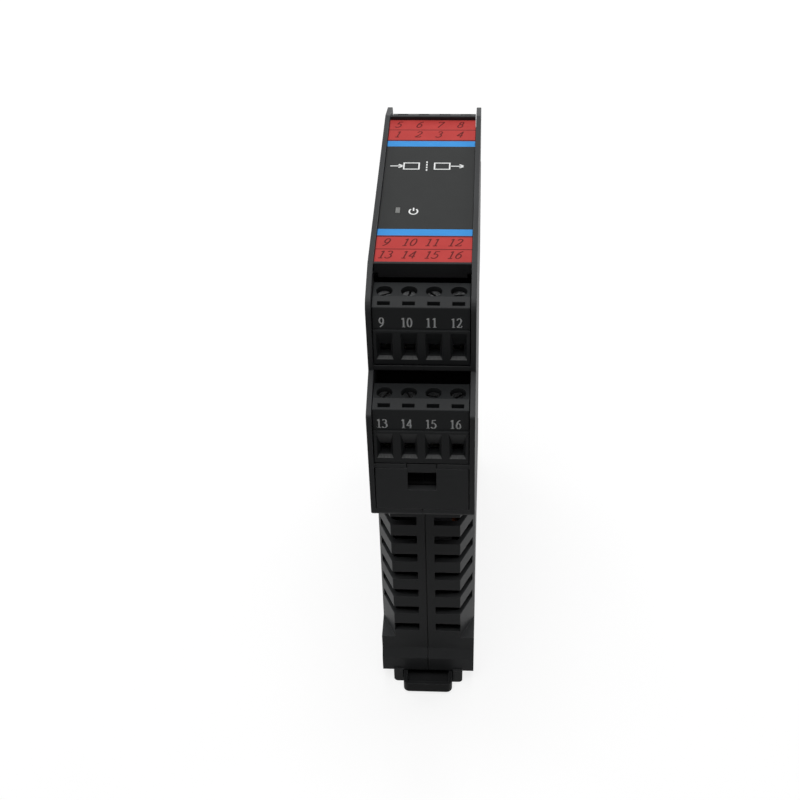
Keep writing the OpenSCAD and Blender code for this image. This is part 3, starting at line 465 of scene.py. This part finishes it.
def frame_path(left, right, low, high):
    """The outline of a box as four separate strokes that meet at their ends."""
    inset = stroke_half
    uprights = [line((x, low - inset), (x, high + inset)) for x in (left, right)]
    levels = [line((left + inset, y), (right - inset, y)) for y in (low, high)]
    return uprights + levels


sign_paths = []
for left in box_lefts:
    sign_paths += frame_path(left, left + box_w, sign_y - sign_half_h, sign_y + sign_half_h)
for start in arrow_starts:
    tip = start + arrow_l
    sign_paths.append(line((start, sign_y), (tip - stroke_half, sign_y)))
    for turn in (1, -1):
        sign_paths.append(line((tip - head_l, sign_y + turn * head_half),
                               (tip, sign_y + turn * stroke_half)))
for dash in np.linspace(-barrier_reach, barrier_reach, dashes):
    middle = sign_y + dash * sign_half_h
    sign_paths.append(line((barrier_x, middle - dash_half), (barrier_x, middle + dash_half)))
sign_paths.append(ellipse(switch_x, switch_y, switch_wide, switch_high, switch_from, switch_to))
sign_paths.append(line((switch_x, switch_y + bar_low), (switch_x, switch_y + bar_high)))
add_piece("label_signs", [sign(path) for path in sign_paths], "housing", white_ink)

# End plates: flat moulded plates that close the ends below the lower plugs, with a release window.
# They are pushed in from the front and carry the shells' grain.
dress(shell_black, "end_plate_near", "end_plate_far")

# Rail latch and its spring: a moulded slider with a pull tray, pushed in by a coil of spring steel.
# Its edges, the tray's rim among them, are painted paler: partly wear from screwdrivers, partly a painted
# highlight.
latch_black = moulded("latch_nylon", tone(16, 16, 17), tone(72, 73, 74), grain=0.0002, rough=0.46,
                      edge_radius=0.0003, Specular_IOR_Level=0.05)
dress(latch_black, "foot_latch")
spring_steel = drawn_metal("spring_steel", tone(120, 122, 126), tone(190, 192, 196), rough=0.3,
                           grain=0.0002)


def coil(low, high, wire, turns):
    """A coil spring that fills a box along Y: a ring of the wire's radius carried along a helix.
    The helix is (r cos a, p a, r sin a), with r half the box's width less that radius and p the rise
    per radian."""
    steps_per_turn, ring_points = 20, 8
    r = (high[0] - low[0]) / 2 - wire
    angle = np.linspace(0, 2 * np.pi * turns, steps_per_turn * turns + 1)[:, None]
    around = np.linspace(0, 2 * np.pi, ring_points, endpoint=False)
    out = r + wire * np.cos(around)
    rise = low[1] + wire + (high[1] - low[1] - 2 * wire) * angle / angle[-1] + wire * np.sin(around)
    return skin(np.stack([(low[0] + high[0]) / 2 + out * np.cos(angle), rise,
                          (low[2] + high[2]) / 2 + out * np.sin(angle)], axis=2))


spring_low, spring_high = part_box("latch_spring")
wire_radius = 0.00015
winding = coil(spring_low, spring_high, wire_radius, turns=8)
spring = add_piece("coil_spring", [winding], "housing", spring_steel)
spring.data.shade_smooth()
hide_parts("latch_spring")
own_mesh(spring)

# Terminal plugs: moulded nylon blocks a shade glossier than the shells. Each has four wire entries,
# screw wells and marker slots, and pulls off outwards with its contacts.
# The up-facing floors of the entries are painted paler, a painted highlight where they catch the light.
plug_black = moulded("plug_nylon", tone(30, 31, 32), tone(60, 62, 63), grain=0.00018, rough=0.42,
                     edge_radius=0.00015, Specular_IOR_Level=0.08)
floor_low, floor_high = 0.0014, 0.0018
level_enough = 0.8
highlight_streak_size, highlight_streak_stretch = 0.0003, 0.15
plug_shader = plug_black.node_tree.nodes["Principled BSDF"]
plug_tone = Shade(plug_black.node_tree, plug_shader.inputs["Base Color"].links[0].from_socket)
place = plug_tone.node("ShaderNodeTexCoord", None, None, out="Object")
height = place.axis("Z")
normal = place.node("ShaderNodeNewGeometry", None, None, out="Normal")
looks_up = normal.axis("Z") > level_enough
plug_feet = [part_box("plug_" + bank)[0][2] for bank in ("1_4", "5_8")]
entry_floor = sum(height.between(foot + floor_low, foot + floor_high) for foot in plug_feet)
stretched = place.node("ShaderNodeMapping", None, {"Vector": place, "Scale": (1.0, highlight_streak_stretch, 1.0)})
painted_floor_highlight = stretched.noise(highlight_streak_size).blend(tone(72, 73, 73), tone(112, 113, 113))
# Painted highlight: up-facing floors of the wire entries are coloured paler, with streaks, to look lit.
(entry_floor * looks_up).blend(plug_tone, painted_floor_highlight).feed(plug_shader.inputs["Base Color"])
dress(plug_black, "plug_1_4", "plug_5_8", "plug_9_12", "plug_13_16")

# Plug numbers: white serif figures printed over each wire entry, on the recessed face under the brow.
# They read upright for someone who faces that end.
plug_ink = ink("figure_ink", tone(226, 228, 228), tone(246, 247, 246), rough=0.55)
upright = np.array([0, 0, 1.0])
pole_pitch = 0.00508
last_far_terminal = 8
face_recess, figure_shift, figure_drop = 0.0004, 0.0004, 0.00465
for first, bank in ((1, "1_4"), (5, "5_8"), (9, "9_12"), (13, "13_16")):
    plug_low, plug_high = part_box("plug_" + bank)
    near = first > last_far_terminal
    face_y = plug_low[1] + face_recess if near else plug_high[1] - face_recess
    reading = across if near else -across
    plug_marks = []
    for pole in range(poles):
        spot_x = (pole - middle_pole) * pole_pitch - figure_shift * reading[0]
        spot = (spot_x, face_y, plug_high[2] - figure_drop)
        plug_marks += figures(str(first + pole), spot, reading, upright, cell_w=0.00112, cell_h=0.00235,
                              thin=0.00005, thick=0.00016, slant=0.0, ink_h=ink_height)
    add_piece("plug_numbers_" + bank, plug_marks, "terminal_" + bank, plug_ink)

# Contacts, clamps and screws: tinned brass bars, steel cages that rise on their screws, and slotted
# screws. The screws are coloured dark as painted shade, standing in for the dark surroundings that they
# reflect.
contact_tin = drawn_metal("contact_tin", tone(142, 132, 104), tone(206, 196, 160), rough=0.36,
                          grain=0.0002)
dress(contact_tin, "contacts_1_4", "contacts_5_8", "contacts_9_12", "contacts_13_16")
cage_nickel = drawn_metal("cage_nickel", tone(140, 142, 144), tone(206, 208, 210), rough=0.32,
                          grain=0.00025)
# Painted shade: the screws' dark tone stands in for the dark surroundings reflected in them.
screw_nickel = drawn_metal("screw_nickel", tone(62, 63, 64), tone(122, 123, 124), rough=0.3,
                           grain=0.0003)
terminals = 16
for number in range(1, terminals + 1):
    dress(cage_nickel, f"clamp_{number}")
    dress(screw_nickel, f"screw_{number}")

# Studio: a plain white floor under soft light, with one large soft box overhead, a small one behind it,
# and two weak ones low behind the sides.
# The camera stands in front, a little to the right and well above, as in the photograph.
floor_half = 2.5
floor_z = cad_box[0][2]
floor_mesh = bpy.data.meshes.new("studio_floor")
floor_corners = [(x * floor_half, y * floor_half, floor_z) for x, y in ((-1, -1), (1, -1), (1, 1), (-1, 1))]
floor_mesh.from_pydata(floor_corners, [], [(0, 1, 2, 3)])
floor = bpy.data.objects.new("studio_floor", floor_mesh)
bpy.context.scene.collection.objects.link(floor)


def looked_at(place):
    """1 for rays from the camera, and for those that reached a surface by reflection or through glass."""
    seen = [place.node("ShaderNodeLightPath", None, None, out=kind)
            for kind in ("Is Camera Ray", "Is Glossy Ray", "Is Transmission Ray")]
    return place.math("MAXIMUM", place.math("MAXIMUM", seen[0], seen[1]), seen[2])


floor_paper, shader, place = new_finish("floor_paper", Specular_IOR_Level=0.1, Roughness=0.9,
                                        Emission_Strength=1.0)
white, black = (1, 1, 1, 1), (0, 0, 0, 1)
fibre_size = 0.05
glow_start, glow_rise = 0.25, 1.2
fibre = place.noise(fibre_size)
paper = fibre.blend(tone(124, 124, 124), tone(130, 130, 130))
looked_at(place).blend(tone(80, 80, 80), paper).feed(shader.inputs["Base Color"])
reach = place.node("ShaderNodeVectorMath", {"operation": "LENGTH"}, {0: place}, out="Value")
far_off = place.math("MINIMUM", place.math("MAXIMUM", (reach - glow_start) * glow_rise, 0.0), 1.0)
glow = far_off.blend(tone(232, 232, 232), white)
looked_at(place).blend(black, glow).feed(shader.inputs["Emission Color"])
floor_mesh.materials.append(floor_paper)


def facing(right, up, back):
    """Euler angles of a turn whose columns are the three directions."""
    return Matrix(np.stack([right, up, back], axis=1).tolist()).to_euler()


def soft_box(name, stand, aim, size, energy):
    """A square lamp that stands at a point and faces aim: its -Z axis follows the line between them."""
    upright_hint = (0, 1, 0.01)
    lamp = bpy.data.lights.new(name, "AREA")
    lamp.size = size
    lamp.energy = energy
    lamp_object = bpy.data.objects.new(name, lamp)
    lamp_object.location = stand
    back = np.array(stand) - np.array(aim)
    back /= np.linalg.norm(back)
    side = np.cross(upright_hint, back)
    side /= np.linalg.norm(side)
    lamp_object.rotation_euler = facing(side, np.cross(back, side), back)
    bpy.context.scene.collection.objects.link(lamp_object)


soft_box("top_box", stand=(-0.04, -0.14, 0.95), aim=(0, 0, 0.08), size=0.7, energy=5.7)
soft_box("back_box", stand=(0.0, 0.33, 0.90), aim=(0, 0, 0.08), size=0.36, energy=2.4)
soft_box("left_box", stand=(-0.75, 0.6, 0.26), aim=(0, 0, 0.06), size=0.5, energy=4.0)
soft_box("right_box", stand=(0.75, 0.6, 0.26), aim=(0, 0, 0.06), size=0.5, energy=4.0)

world = bpy.data.worlds.new("studio")
bpy.context.scene.world = world
world.use_nodes = True
surround = Shade(world.node_tree, None)
dim = 0.045
fill = world.node_tree.nodes["Background"]
looked_at(surround).blend((dim, dim, dim, 1), white).feed(fill.inputs["Color"])
fill.inputs["Strength"].default_value = 1.0

camera = bpy.data.cameras.new("camera")
camera.sensor_width = 36.0
camera.lens = 65.66
camera.clip_start = 0.01
camera_object = bpy.data.objects.new("camera", camera)
yaw, pitch, roll = np.radians([-4.435, 40.649, -2.054])
ahead = np.array([np.sin(yaw) * np.cos(pitch), np.cos(yaw) * np.cos(pitch), -np.sin(pitch)])
level = np.array([np.cos(yaw), -np.sin(yaw), 0.0])
rise = np.cross(level, ahead)
camera_object.location = (0.013337, -0.273683, 0.286644)
camera_object.rotation_euler = facing(level * np.cos(roll) + rise * np.sin(roll),
                                      rise * np.cos(roll) - level * np.sin(roll), -ahead)
bpy.context.scene.collection.objects.link(camera_object)
bpy.context.scene.camera = camera_object
bpy.context.scene.view_settings.view_transform = "Standard"
